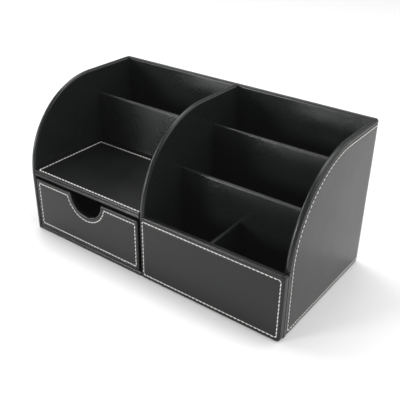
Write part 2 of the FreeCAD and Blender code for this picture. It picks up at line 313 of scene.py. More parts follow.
@dataclass(frozen=True)
class WallOutline(Outline):
    """A wall seen square on, or the outer walls unrolled: a level foot and top, and two ends.

    An end with a radius is upright and then turns a quarter to the top; one without is upright all
    the way. Below step_height the starting end stands back by step_back, and lines drawn in by no
    more than folded keep only step_share of that there.
    """

    start: float
    end: float
    foot: float
    top: float
    start_radius: float = 0.0
    end_radius: float = 0.0
    step_height: float = 0.0
    step_back: float = 0.0
    step_share: float = 1.0
    folded: float = 2.1 * MM

    def from_rim(self, u: float, v: float) -> float:
        """How far a point lies in from the top and the curved ends.

        Args:
            u: How far along the wall the point is.
            v: How high it is.

        Returns:
            The distance to the nearest rim.
        """
        for radius, into_bend in ((self.start_radius, self.start + self.start_radius - u),
                                  (self.end_radius, u - self.end + self.end_radius)):
            if radius and into_bend > 0.0:
                return radius - math.hypot(into_bend, max(v - self.top + radius, 0.0))
        return self.top - v

    def points(self, inset: Sides) -> list[Point]:
        """The outline drawn in by inset, counter-clockwise from the start of its foot.

        Args:
            inset: How far it is drawn in from each side.

        Returns:
            The points of the closed line.
        """
        low, last = self.foot + inset.bottom, self.end - inset.right
        share = self.step_share if inset.left <= self.folded else 1.0
        stepped = self.start + max(self.step_back, inset.left * share)
        start = (stepped if self.step_height else self.start + inset.left, low)
        foot = [start, *self.run(start, (last, low), self.end - self.start), (last, low)]
        up = foot + self.far_end((last, low), inset)
        over = up + self.top_and_near_end(up[-1], inset)
        if not self.step_height:
            return over + self.run(over[-1], start, self.top - self.foot - self.start_radius)
        under = (stepped, self.step_height)
        return [*over, under, *self.run(under, start, self.step_height - self.foot)]

    def far_end(self, foot: Point, inset: Sides) -> list[Point]:
        """The far end, from above its foot up to the top.

        Args:
            foot: The end's foot.
            inset: How far the outline is drawn in.

        Returns:
            The points after the foot.
        """
        if not self.end_radius:
            head = (foot[0], self.top - inset.top)
            return [*self.run(foot, head, self.top - self.foot), head]
        spring = self.top - self.end_radius
        upright = self.run(foot, (foot[0], spring), spring - self.foot)
        return upright + turn((self.end - self.end_radius, spring), self.end_radius - inset.top,
                              0.0, QUARTER, self.parts(self.end_radius * QUARTER))

    def top_and_near_end(self, start: Point, inset: Sides) -> list[Point]:
        """The top, and the near end as far as its step, or the bottom of its curve without one.

        Args:
            start: Where the top starts, at the far end.
            inset: How far the outline is drawn in.

        Returns:
            The points after the start.
        """
        first = self.start + inset.left
        level = self.end - self.start - self.end_radius - self.start_radius
        if not self.start_radius:
            head = (first, self.top - inset.top)
            return [*self.run(start, head, level), head]
        spring = self.top - self.start_radius
        radius = self.start_radius - inset.top
        lowest = math.asin(max(self.step_height - spring, 0.0) / radius)
        bend = turn((self.start + self.start_radius, spring), radius, QUARTER, math.pi - lowest,
                    self.parts(self.start_radius * QUARTER))
        over = self.run(start, bend[0], level) + bend
        if not 0.0 < self.step_height < spring:
            return over
        ledge = (first, self.step_height)
        return [*over, *self.run(over[-1], ledge, spring - self.step_height), ledge]


@dataclass(frozen=True)
class WayRound:
    """The way along the walls' outer face: right wall, back and left wall, from the right front."""

    half_width: float
    right_front: float
    left_front: float
    back: float
    corner: float = 2.6 * MM

    def runs(self) -> tuple[float, float, float, float]:
        """The lengths of the right wall, a rounded corner, the back and the left wall.

        Returns:
            The four lengths.
        """
        level = self.back - self.corner
        return (level - self.right_front, self.corner * QUARTER,
                2 * (self.half_width - self.corner), level - self.left_front)

    def mitres(self) -> Span:
        """How far along the middles of the right and the left back corner are."""
        right, bend, rear, _ = self.runs()
        return right + bend / 2, right + bend * 1.5 + rear

    def length(self) -> float:
        """The whole way, front to front."""
        right, bend, rear, left = self.runs()
        return right + 2 * bend + rear + left

    def bends(self) -> tuple[Span, Span]:
        """Where along the way each rounded corner starts and ends."""
        right, bend, rear, _ = self.runs()
        return (right, right + bend), (right + bend + rear, right + 2 * bend + rear)

    def place(self, along: float, height: float, depth: float) -> Vector:
        """Lays a point of the unrolled walls in space.

        Args:
            along: How far along the way it is.
            height: How high it is.
            depth: How far inside the outer face it lies.

        Returns:
            The spot.
        """
        right, bend, rear, left = self.runs()
        inner = max(self.corner, depth)
        side = self.half_width - depth
        if along <= right:
            reach = self.back - inner - self.right_front
            return Vector((side, self.right_front + reach * along / right, height))
        along -= right
        if along < bend:
            return self.corner_spot(along / bend * QUARTER, height, depth)
        along -= bend
        if along <= rear:
            reach = self.half_width - inner
            return Vector((reach - 2 * reach * along / rear, self.back - depth, height))
        along -= rear
        if along < bend:
            return self.corner_spot((1 + along / bend) * QUARTER, height, depth)
        along -= bend
        reach = self.back - inner - self.left_front
        return Vector((-side, self.back - inner - reach * along / left, height))

    def corner_spot(self, angle: float, height: float, depth: float) -> Vector:
        """Lays a point in a back corner: on its arc, or behind that on the sharp inner corner.

        Args:
            angle: The way out at the point, counter-clockwise from the right.
            height: How high it is.
            depth: How far inside the outer face it lies.

        Returns:
            The spot.
        """
        sign = 1 if angle <= QUARTER else -1
        centre = Vector((sign * (self.half_width - self.corner), self.back - self.corner, height))
        if depth < self.corner:
            return centre + Vector((math.cos(angle), math.sin(angle), 0)) * (self.corner - depth)
        return centre - Vector((sign, 1, 0)) * (depth - self.corner)


def facing_front(y: float) -> Place:
    """Lays an outline's (x, z) on a face that looks to the front, at this y."""
    return lambda u, v, depth: Vector((u, y + depth, v))


def facing_up(z: float) -> Place:
    """Lays an outline's (x, y) on a face that looks up, at this height."""
    return lambda u, v, depth: Vector((u, v, z - depth))


def facing_right(x: float) -> Place:
    """Lays an outline's (y, z) on a face that looks to the right, at this x."""
    return lambda u, v, depth: Vector((x - depth, u, v))


def rounding(radius: float, parts: int = 6) -> list[Row]:
    """A quarter turn over an edge as (inset, depth) rows, from the face out to the edge."""
    angles = [QUARTER * k / parts for k in range(parts + 1)]
    return [(radius * (1 - math.sin(a)), radius * (1 - math.cos(a))) for a in angles]


@dataclass(frozen=True)
class StitchLine:
    """A line of saddle stitching: where it runs, and how it pulls the leather down beside it.

    The leather swells to its crown between the stitching and the middle of the face. Each row of
    swell is (how far from the thread, its share of the crown), and each row of trough is (its share
    of half_width from the thread, its share of the sink, its share of a hole's dimple).
    """

    inset: Sides
    half_width: float = 0.42 * MM
    sink: float = 0.26 * MM
    dimple: float = 0.14 * MM
    crown: float = 0.06 * MM
    swell: tuple[Row, ...] = ((3.4 * MM, 1.0), (1.8 * MM, 0.9), (0.9 * MM, 0.3))
    trough: tuple[Row, ...] = ((1.0, 0.35, 0.4), (0.0, 1.0, 1.0), (-1.0, 0.3, 0.3))

    def rings(self) -> list[Ring]:
        """The lines of leather beside and under the thread, from the face's middle outwards.

        Returns:
            The rings.
        """
        rings = [Ring(self.inset.shifted(away), -self.crown * share)
                 for away, share in self.swell]
        rings += [Ring(self.inset.shifted(self.half_width * away), self.sink * share,
                       self.dimple * hole) for away, share, hole in self.trough]
        return rings


def inner_points(loop: list[Point], grid: float, bends: tuple[Span, ...]) -> list[Point]:
    """Points inside a loop's bounds, clear of it: a staggered lattice, and columns at bends.

    Args:
        loop: The loop's points.
        grid: The distance between the lattice's points.
        bends: Where along the loop each bend of the face starts and ends.

    Returns:
        The points.
    """
    tree = KDTree(len(loop))
    for number, (u, v) in enumerate(loop):
        tree.insert((u, v, 0.0), number)
    tree.balance()
    low_u, high_u = min(p[0] for p in loop), max(p[0] for p in loop)
    low_v, high_v = min(p[1] for p in loop), max(p[1] for p in loop)
    rows = range(1, int((high_v - low_v) / grid) + 1)
    columns = range(1, int((high_u - low_u) / grid) + 1)
    margin = grid * CLEAR_OF_EDGE
    found = []
    for row in rows:
        for column in columns:
            u = low_u + (column - 0.5 * (row % 2)) * grid
            v = low_v + row * grid
            bent = any(first - margin < u < last + margin for first, last in bends)
            if not bent and tree.find((u, v, 0.0))[2] > margin:
                found.append((u, v))
    for first, last in bends:
        for column in range(BEND_PARTS + 1):
            u = first + (last - first) * column / BEND_PARTS
            upright = [(u, low_v + row * grid) for row in rows]
            found += [(u, v) for u, v in upright
                      if tree.find((u, v, 0.0))[2] > grid * CLEAR_AT_BEND]
    return found


def filled(loop: list[Point], grid: float, bends: tuple[Span, ...]) -> tuple[list[Point], Faces]:
    """Triangles that fill a loop.

    Args:
        loop: The loop's points, counter-clockwise.
        grid: The distance between the points that are added inside.
        bends: Where along the loop each bend of the face starts and ends.

    Returns:
        The added points, and triangles of numbers that count the loop's points first.
    """
    added = inner_points(loop, grid, bends)
    spots = [Vector(p) for p in loop + added]
    edges = [(k, (k + 1) % len(loop)) for k in range(len(loop))]
    _, _, faces, origins, _, _ = delaunay_2d_cdt(spots, edges, [], INSIDE_ONLY, SAME_POINT)
    return added, [tuple(origins[k][0] for k in face) for face in faces]


def new_piece(name: str, spots: list[Vector], faces: Faces) -> bpy.types.Object:
    """Makes a smooth mesh object and puts it in the scene.

    Args:
        name: The new object's name.
        spots: Its points.
        faces: The numbers of each face's points.

    Returns:
        The new object.
    """
    mesh = bpy.data.meshes.new(name)
    mesh.from_pydata([tuple(spot) for spot in spots], [], faces)
    mesh.validate()
    mesh.shade_smooth()
    piece = bpy.data.objects.new(name, mesh)
    bpy.context.scene.collection.objects.link(piece)
    return piece


@dataclass(frozen=True)
class Wrap:
    """Leather cloth drawn over a board, from the middle of its show face over its rims to its back.

    The rings go from the show face outwards, round the rim and in again behind. The grid is the
    distance between points in the middle of a face. show_face and back_face say whether those
    middles are covered, and bends where along the outline each bend of the face starts and ends.
    """

    outline: Outline
    place: Place
    rings: list[Ring]
    grid: float = 4.0 * MM
    show_face: bool = True
    back_face: bool = True
    bends: tuple[Span, ...] = ()

    def ring_spots(self, ring: Ring) -> list[Vector]:
        """The points of one ring in space, sunk at the thread holes.

        Args:
            ring: The ring.

        Returns:
            One spot for each point of the outline.
        """
        loop = self.outline.points(ring.inset)
        if not ring.dimple:
            return [self.place(u, v, ring.depth) for u, v in loop]
        steps = [math.dist(here, there) for here, there in zip(loop, loop[1:] + loop[:1])]
        whole = sum(steps)
        holes = round(whole / STITCH_PITCH)
        walked = 0.0
        spots = []
        for (u, v), step in zip(loop, steps):
            sunk = 0.5 + 0.5 * math.cos(2 * math.pi * holes * walked / whole)
            spots.append(self.place(u, v, ring.depth + ring.dimple * sunk ** 2))
            walked += step
        return spots

    def build(self, name: str, unevenness: float, wave: float = 14.0 * MM,
              thickness: float = LEATHER) -> bpy.types.Object:
        """Makes the wrap as a shell.

        Args:
            name: The new object's name.
            unevenness: How far its surface strays from true.
            wave: The size of that straying along the surface.
            thickness: How thick the leather is; 0 for a solid that the rings close.

        Returns:
            The new object.
        """
        spots: list[Vector] = []
        faces: Faces = []
        loops = []
        for ring in self.rings:
            around = self.ring_spots(ring)
            loops.append(range(len(spots), len(spots) + len(around)))
            spots += around
        for inner, outer in zip(loops, loops[1:]):
            for k in range(len(inner)):
                after = (k + 1) % len(inner)
                faces.append((inner[k], outer[k], outer[after], inner[after]))
        for wanted, which, turned in ((self.show_face, 0, 1), (self.back_face, -1, -1)):
            if wanted:
                ring = self.rings[which]
                added, triangles = filled(self.outline.points(ring.inset), self.grid, self.bends)
                numbers = [*loops[which], *range(len(spots), len(spots) + len(added))]
                spots += [self.place(u, v, ring.depth) for u, v in added]
                faces += [tuple(numbers[k] for k in triangle)[::turned] for triangle in triangles]
        return settled(new_piece(name, spots, faces), thickness, unevenness, wave)


def settled(piece: bpy.types.Object, thickness: float, unevenness: float,
            wave: float) -> bpy.types.Object:
    """Joins a sheet's doubled points, makes it uneven as hand-glued leather is, and thickens it.

    Args:
        piece: The sheet, or a closed solid.
        thickness: How thick it becomes, behind its faces; 0 leaves a closed solid as it is.
        unevenness: How far its surface strays from true.
        wave: The size of that straying along the surface.

    Returns:
        The piece.
    """
    weld = piece.modifiers.new("joined", "WELD")
    weld.merge_threshold = WELD_DISTANCE
    make_final(piece)
    vertices = piece.data.vertices
    directions = [vertex.normal.copy() for vertex in vertices]
    for vertex, direction in zip(vertices, directions):
        spot = vertex.co / wave
        swell = noise.noise(spot) + RIPPLE_SHARE * noise.noise(spot * RIPPLE_RATE)
        vertex.co += direction * (unevenness * swell)
    if thickness:
        solid = piece.modifiers.new("thickness", "SOLIDIFY")
        solid.thickness = thickness
        solid.offset = -1.0
        make_final(piece)
    piece.data.shade_smooth()
    piece.data.set_sharp_from_angle(angle=SHARP_ANGLE)
    return piece


def stay_above(piece: bpy.types.Object, level: float) -> None:
    """Presses flat whatever of a piece hangs below a level."""
    for vertex in piece.data.vertices:
        vertex.co.z = max(vertex.co.z, level)


def make_final(piece: bpy.types.Object) -> None:
    """Applies a piece's modifiers to its mesh.

    Args:
        piece: The piece.
    """
    bpy.context.view_layer.update()
    shaped = piece.evaluated_get(bpy.context.evaluated_depsgraph_get())
    final = bpy.data.meshes.new_from_object(shaped)
    old = piece.data
    piece.modifiers.clear()
    piece.data = final
    bpy.data.meshes.remove(old)
    final.name = piece.name


class SewnPath:
    """The closed line that a thread follows over leather."""

    def __init__(self, wrap: Wrap, line: StitchLine) -> None:
        """Walks once round the line.

        Args:
            wrap: The leather that the line is sewn through.
            line: The line of stitching.
        """
        flat = wrap.outline.points(line.inset)
        self.spots = [wrap.place(u, v, line.sink * 0.5) for u, v in flat]
        self.outward = [(wrap.place(u, v, -MM) - wrap.place(u, v, 0.0)).normalized()
                        for u, v in flat]
        self.starts = [0.0]
        for here, there in zip(self.spots, self.spots[1:] + self.spots[:1]):
            self.starts.append(self.starts[-1] + (there - here).length)

    def at(self, distance: float) -> tuple[Vector, Vector, Vector]:
        """A spot on the path.

        Args:
            distance: How far along the path it is.

        Returns:
            The spot, the way on along the path and the way out of the leather.
        """
        low = min(bisect_right(self.starts, distance), len(self.spots)) - 1
        high = (low + 1) % len(self.spots)
        step = max(self.starts[low + 1] - self.starts[low], SAME_POINT)
        blend = (distance - self.starts[low]) / step
        forward = (self.spots[high] - self.spots[low]).normalized()
        up = self.outward[low].lerp(self.outward[high], blend).normalized()
        return self.spots[low].lerp(self.spots[high], blend), forward, up


@dataclass(frozen=True)
class Thread:
    """Waxed two-ply thread in single stitches, each an arch from hole to hole, a little askew.

    bare is the leather between two stitches. A stitch rises to its middle, dips into its holes,
    narrows to end_girth there, and its plies make that many twists.
    """

    radius: float = 0.39 * MM
    bare: float = 0.5 * MM
    rise: float = 0.26 * MM
    dip: float = 0.30 * MM
    slant: float = 0.14 * MM
    ply: float = 0.10
    twists: float = 1.25
    fullness: float = 0.6
    end_girth: float = 0.62
    stations: int = 9
    facets: int = 10

    def build(self, name: str, wrap: Wrap, line: StitchLine) -> bpy.types.Object:
        """Makes the stitches of one line.

        Args:
            name: The new object's name.
            wrap: The leather that the line is sewn through.
            line: The line of stitching.

        Returns:
            One object that holds every stitch.
        """
        path = SewnPath(wrap, line)
        count = round(path.starts[-1] / STITCH_PITCH)
        pitch = path.starts[-1] / count
        spots: list[Vector] = []
        faces: Faces = []
        for number in range(count):
            first = len(spots)
            for station in range(self.stations):
                share = station / (self.stations - 1)
                at = number * pitch + self.bare / 2 + share * (pitch - self.bare)
                spots += self.section(path, at, share)
            faces += self.skin(first)
        return new_piece(name, spots, faces)

    def section(self, path: SewnPath, at: float, share: float) -> list[Vector]:
        """One cross-section of a stitch.

        Args:
            path: The line that the thread follows.
            at: How far along it this section is.
            share: How far through its stitch it is, from 0 to 1.

        Returns:
            The section's points.
        """
        centre, forward, up = path.at(at)
        side = forward.cross(up)
        arch = math.sin(math.pi * share)
        centre = centre + up * (self.rise * arch ** self.fullness - self.dip * (1 - arch) ** 2)
        centre = centre + side * (self.slant * (2 * share - 1))
        girth = self.radius * (self.end_girth + (1 - self.end_girth) * arch ** 0.5)
        ring = []
        for facet in range(self.facets):
            angle = 2 * math.pi * facet / self.facets
            bulge = 1 + self.ply * math.cos(2 * (angle - 2 * math.pi * self.twists * share))
            ring.append(centre + (side * math.cos(angle) + up * math.sin(angle)) * (girth * bulge))
        return ring

    def skin(self, first: int) -> Faces:
        """The faces of one stitch.

        Args:
            first: The number of its first point.

        Returns:
            The numbers of each face's points.
        """
        last = first + (self.stations - 1) * self.facets
        faces = [tuple(range(first, first + self.facets))[::-1]]
        for base in range(first, last, self.facets):
            for facet in range(self.facets):
                after = (facet + 1) % self.facets
                faces.append((base + facet, base + after, base + self.facets + after,
                              base + self.facets + facet))
        faces.append(tuple(range(last, last + self.facets)))
        return faces


def linear(colour: str) -> tuple[float, float, float, float]:
    """Turns a colour to the renderer's linear light.

    Args:
        colour: The sRGB hex colour.

    Returns:
        Red, green, blue and alpha.
    """
    parts = [int(colour[k:k + 2], 16) / 255 for k in (1, 3, 5)]
    light = [part / 12.92 if part <= 0.04045 else ((part + 0.055) / 1.055) ** 2.4 for part in parts]
    return (*light, 1.0)


def add_node(tree: bpy.types.NodeTree, kind: str, settings: Settings,
             links: Links | None = None) -> bpy.types.Node:
    """Adds a node to a material.

    Args:
        tree: The material's node tree.
        kind: The node's type.
        settings: Values by the name or number of an input, or else by the name of a property.
        links: Sockets by the name or number of the input that they feed.

    Returns:
        The new node.
    """
    node = tree.nodes.new(kind)
    for name, value in settings.items():
        if isinstance(name, int) or name in node.inputs:
            node.inputs[name].default_value = value
        else:
            setattr(node, name, value)
    for name, socket in (links or {}).items():
        tree.links.new(socket, node.inputs[name])
    return node


class Finish:
    """A finish of one of the object's materials."""

    name: str

    def shading(self, tree: bpy.types.NodeTree, where: bpy.types.NodeSocket) -> Shading:
        """Adds the nodes of the finish's patterns, and says what the shader gets."""
        raise NotImplementedError

    def material(self) -> bpy.types.Material:
        """Makes the material.

        Returns:
            The new material, with its patterns laid on by the object's own coordinates.
        """
        material = bpy.data.materials.new(self.name)
        material.use_nodes = True
        tree = material.node_tree
        tree.nodes.clear()
        where = add_node(tree, "ShaderNodeTexCoord", {})
        settings, links = self.shading(tree, where.outputs["Object"])
        shader = add_node(tree, "ShaderNodeBsdfPrincipled", settings, links)
        add_node(tree, "ShaderNodeOutputMaterial", {}, {"Surface": shader.outputs["BSDF"]})
        return material


@dataclass(frozen=True)
class LeatherCloth(Finish):
    """PU leather cloth: a black polyurethane skin with an embossed pebble grain on woven backing.

    The skin is a plastic under a matting top coat, so it reflects as one, only less, and its grain
    spreads the studio's light into the grey sheen that black leather has. The grain's cells are
    drawn 1.1 mm wide, as coarse as they have to be to show, and its creases under half that. The
    valleys between its pebbles are painted darker, a painted shade. Over 22 mm the skin is now a
    little smoother, now a little duller, as handling leaves it.
    """

    name: str
    colour: str = "#161717"
    painted_valley_shade: str = "#0e0f0f"
    roughness_low: float = 0.20
    roughness_high: float = 0.26
    grain: float = 1.1 * MM
    grain_depth: float = 0.032 * MM
    crease: float = 0.45 * MM
    crease_depth: float = 0.02 * MM
    cloud: float = 22.0 * MM
    ior: float = 1.46
    matting: float = 0.39

    def shading(self, tree: bpy.types.NodeTree, where: bpy.types.NodeSocket) -> Shading:
        """Adds the grain, its creases and the worn clouds.

        Args:
            tree: The material's node tree.
            where: The coordinates that the patterns follow.

        Returns:
            What the shader is set to, and what feeds it.
        """
        pebble = add_node(tree, "ShaderNodeTexVoronoi",
                          {"feature": "SMOOTH_F1", "Scale": 1 / self.grain, "Smoothness": 0.35,
                           "Randomness": 0.9}, {"Vector": where})
        crease = add_node(tree, "ShaderNodeTexNoise",
                          {"Scale": 1 / self.crease, "Detail": 2.0}, {"Vector": where})
        cloud = add_node(tree, "ShaderNodeTexNoise",
                         {"Scale": 1 / self.cloud, "Detail": 3.0}, {"Vector": where})
        cell = add_node(tree, "ShaderNodeMapRange",
                        {"From Min": 0.15, "From Max": 0.75, "To Min": 1.0, "To Max": 0.0},
                        {"Value": pebble.outputs["Distance"]})
        # Painted shade: the valleys between the grain's pebbles take the darker colour.
        tint = add_node(tree, "ShaderNodeMix",
                        {"data_type": "RGBA", COLOUR_A: linear(self.painted_valley_shade),
                         COLOUR_B: linear(self.colour)}, {"Factor": cell.outputs["Result"]})
        gloss = add_node(tree, "ShaderNodeMapRange",
                         {"From Min": 0.3, "From Max": 0.7, "To Min": self.roughness_low,
                          "To Max": self.roughness_high}, {"Value": cloud.outputs["Fac"]})
        fine = add_node(tree, "ShaderNodeBump", {"Distance": self.crease_depth, "Strength": 1.0},
                        {"Height": crease.outputs["Fac"]})
        relief = add_node(tree, "ShaderNodeBump", {"Distance": self.grain_depth, "Strength": 1.0},
                          {"Height": cell.outputs["Result"], "Normal": fine.outputs["Normal"]})
        return ({"IOR": self.ior, "Metallic": 0.0, "Specular IOR Level": self.matting},
                {"Base Color": tint.outputs[MIXED_COLOUR], "Roughness": gloss.outputs["Result"],
                 "Normal": relief.outputs["Normal"]})


@dataclass(frozen=True)
class StitchingThread(Finish):
    """Bonded polyester thread, spun and waxed: off-white, with a soft shine along its plies."""

    name: str = "waxed_white_thread"
    colour: str = "#f4f3f0"
    shade_colour: str = "#cfcdc8"
    fibre: float = 0.12 * MM
    fibre_depth: float = 0.03 * MM
    roughness: float = 0.55
    bloom: float = 0.25
    ior: float = 1.57

    def shading(self, tree: bpy.types.NodeTree, where: bpy.types.NodeSocket) -> Shading:
        """Adds the spun fibres.

        Args:
            tree: The material's node tree.
            where: The coordinates that the patterns follow.

        Returns:
            What the shader is set to, and what feeds it.
        """
        fibres = add_node(tree, "ShaderNodeTexNoise", {"Scale": 1 / self.fibre, "Detail": 3.0},
                          {"Vector": where})
        tint = add_node(tree, "ShaderNodeMix",
                        {"data_type": "RGBA", COLOUR_A: linear(self.shade_colour),
                         COLOUR_B: linear(self.colour)}, {"Factor": fibres.outputs["Fac"]})
        relief = add_node(tree, "ShaderNodeBump", {"Distance": self.fibre_depth, "Strength": 0.6},
                          {"Height": fibres.outputs["Fac"]})
        return ({"IOR": self.ior, "Roughness": self.roughness, "Sheen Weight": self.bloom},
                {"Base Color": tint.outputs[MIXED_COLOUR], "Normal": relief.outputs["Normal"]})


@dataclass(frozen=True)
class PressedFibre(Finish):
    """A sheet of short fibres, pressed or glued: felt, flock, wrapped card or fibreboard.

    Fibres point every way, so the surface is dull and flecked, and a napped one has a soft bloom.
    Its clumps are ten fibres wide.
    """

    name: str
    colour: str
    fleck_colour: str
    fibre: float
    depth: float
    roughness: float
    nap: float = 0.0
    ior: float = 1.47

    def shading(self, tree: bpy.types.NodeTree, where: bpy.types.NodeSocket) -> Shading:
        """Adds the fibres and their clumps.

        Args:
            tree: The material's node tree.
            where: The coordinates that the patterns follow.

        Returns:
            What the shader is set to, and what feeds it.
        """
        fibres = add_node(tree, "ShaderNodeTexNoise",
                          {"Scale": 1 / self.fibre, "Detail": 5.0, "Roughness": 0.65},
                          {"Vector": where})
        clumps = add_node(tree, "ShaderNodeTexNoise",
                          {"Scale": 0.1 / self.fibre, "Detail": 2.0}, {"Vector": where})
        mixed = add_node(tree, "ShaderNodeMath", {"operation": "MULTIPLY"},
                         {0: fibres.outputs["Fac"], 1: clumps.outputs["Fac"]})
        spread = add_node(tree, "ShaderNodeMapRange", {"From Min": 0.12, "From Max": 0.4},
                          {"Value": mixed.outputs["Value"]})
        tint = add_node(tree, "ShaderNodeMix",
                        {"data_type": "RGBA", COLOUR_A: linear(self.colour),
                         COLOUR_B: linear(self.fleck_colour)}, {"Factor": spread.outputs["Result"]})
        relief = add_node(tree, "ShaderNodeBump", {"Distance": self.depth, "Strength": 0.8},
                          {"Height": fibres.outputs["Fac"]})
        return ({"IOR": self.ior, "Roughness": self.roughness, "Sheen Weight": self.nap},
                {"Base Color": tint.outputs[MIXED_COLOUR], "Normal": relief.outputs["Normal"]})


@dataclass(frozen=True)
class GlossyTable(Finish):
    """A white acrylic sheet under the object: it scatters nearly all light and mirrors a little."""

    name: str = "white_acrylic"
    colour: str = "#f7f7f7"
    roughness: float = 0.16
    haziness: float = 0.1
    ior: float = 1.49

    def shading(self, tree: bpy.types.NodeTree, where: bpy.types.NodeSocket) -> Shading:
        """Adds the haze that wiping leaves.

        Args:
            tree: The material's node tree.
            where: The coordinates that the patterns follow.

        Returns:
            What the shader is set to, and what feeds it.
        """
        haze = add_node(tree, "ShaderNodeTexNoise", {"Scale": 3.0, "Detail": 2.0},
                        {"Vector": where})
        gloss = add_node(tree, "ShaderNodeMapRange",
                         {"To Min": self.roughness * (1 - self.haziness),
                          "To Max": self.roughness * (1 + self.haziness)},
                         {"Value": haze.outputs["Fac"]})
        return ({"IOR": self.ior, "Base Color": linear(self.colour)},
                {"Roughness": gloss.outputs["Result"]})


class Workshop:
    """The finishes, made once, and what puts a finished piece on its body."""

    def __init__(self) -> None:
        """Makes every material."""
        finishes = {
            Slot.OUTER_LEATHER: LeatherCloth("outer_leather_cloth"),
            Slot.PANEL_LEATHER: LeatherCloth("panel_leather_cloth"),
            # A thinner cloth with a flatter grain, duller than the outer one.
            # Its greyer colour is partly painted light, lifted to brighten the dim compartments.
            Slot.LINING_LEATHER: LeatherCloth(
                "lining_leather_cloth", colour="#1e2120", painted_valley_shade="#171918",
                roughness_low=0.25, roughness_high=0.31, grain_depth=0.016 * MM),
            Slot.THREAD: StitchingThread(),
            # The board inside the leather: brown, dull and flecked.
            Slot.FIBREBOARD: PressedFibre(
                "fibreboard", "#5d4430", "#a88560", fibre=0.6 * MM, depth=0.04 * MM,
                roughness=0.75),
            # Paper is calendered, so the drawer's walls are even, with a faint shine.
            Slot.DRAWER_CARD: PressedFibre(
                "black_paper_on_card", "#121213", "#1f1f20", fibre=0.5 * MM, depth=0.02 * MM,
                roughness=0.6),
            # Flock and felt swallow the light, but for a bloom where their fibres stand up.
            Slot.DRAWER_FLOCK: PressedFibre(
                "black_flock", "#0b0b0c", "#1b1b1d", fibre=0.35 * MM, depth=0.08 * MM,
                roughness=0.95, nap=0.35),
            Slot.FELT: PressedFibre(
                "black_felt", "#0e0e0f", "#232325", fibre=0.6 * MM, depth=0.12 * MM,
                roughness=0.95, nap=0.3),
        }
        self.materials = {slot: finish.material() for slot, finish in finishes.items()}

    def dress(self, piece: bpy.types.Object, slot: Slot) -> None:
        """Gives a piece its finish.

        Args:
            piece: The piece.
            slot: Its finish.
        """
        piece.data.materials.clear()
        piece.data.materials.append(self.materials[slot])

    def fit(self, piece: bpy.types.Object, body: Body, slot: Slot, node: str) -> None:
        """Finishes a new piece.

        Args:
            piece: The piece, in place.
            body: The body that it moves with.
            slot: Its finish.
            node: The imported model's node that it stands for.
        """
        self.dress(piece, slot)
        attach(piece, body.value)
        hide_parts(node)
        LOG.info("%s: %d faces, for %s", piece.name, len(piece.data.polygons), node)

    def fit_sewn(self, wrap: Wrap, line: StitchLine, name: str, nodes: tuple[str, str],
                 body: Body = Body.CARCASS, slot: Slot = Slot.PANEL_LEATHER,
                 unevenness: float = 0.05 * MM, wave: float = 14.0 * MM) -> None:
        """Makes a piece of stitched leather and its thread.

        Args:
            wrap: The leather.
            line: Its line of stitching.
            name: What both pieces' names start with.
            nodes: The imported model's cover and thread.
            body: The body that they move with.
            slot: The leather's finish.
            unevenness: How far the leather strays from true.
            wave: The size of that straying along the surface.
        """
        cover = wrap.build(name + "_leather", unevenness, wave)
        self.fit(cover, body, slot, nodes[0])
        stitches = Thread().build(name + "_stitches", wrap, line)
        self.fit(stitches, body, Slot.THREAD, nodes[1])

    def keep(self, frame: dict, slot: Slot, *nodes: str) -> None:
        """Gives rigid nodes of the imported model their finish, in their own shape.

        Args:
            frame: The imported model.
            slot: The finish.
            nodes: The nodes.
        """
        for node in nodes:
            self.dress(frame["nodes"][node], slot)
            LOG.info("%s: kept, in %s", node, slot.value)


@dataclass(frozen=True)
class Mat:
    """A flat sheet of felt or flock with soft edges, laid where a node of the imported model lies.

    Its top and bottom edges are rounded by its softness, and a row of points lies inside them. Its
    underside keeps a clearance from what the node rests on.
    """

    node: str
    corner: float
    softness: float = 0.2 * MM
    soft_parts: int = 4
    face_row: float = 2.0 * MM
    spacing: float = 1.6 * MM
    grid: float = 3.0 * MM
    unevenness: float = 0.04 * MM
    wave: float = 3.0 * MM
    clearance: float = 0.05 * MM

    def flat(self) -> Span:
        """Its width and length."""
        low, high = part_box(self.node)
        return high.x - low.x, high.y - low.y

    def build(self, name: str) -> bpy.types.Object:
        """Makes the sheet.

        Args:
            name: The new object's name.

        Returns:
            The new object.
        """
        low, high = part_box(self.node)
        even = Sides(1.0, 1.0, 1.0, 1.0)
        face = [Ring(even.scaled(self.face_row), 0.0)]
        face += [Ring(even.scaled(inset), depth)
                 for inset, depth in rounding(self.softness, self.soft_parts)]
        behind = [Ring(ring.inset, high.z - low.z - ring.depth) for ring in reversed(face)]
        outline = Rectangle(low.x, high.x, low.y, high.y, corner=self.corner,
                            least_corner=self.corner, spacing=self.spacing)
        wrap = Wrap(outline, facing_up(high.z), face + behind, grid=self.grid)
        piece = wrap.build(name, self.unevenness, self.wave, thickness=0.0)
        stay_above(piece, low.z + self.clearance)
        return piece


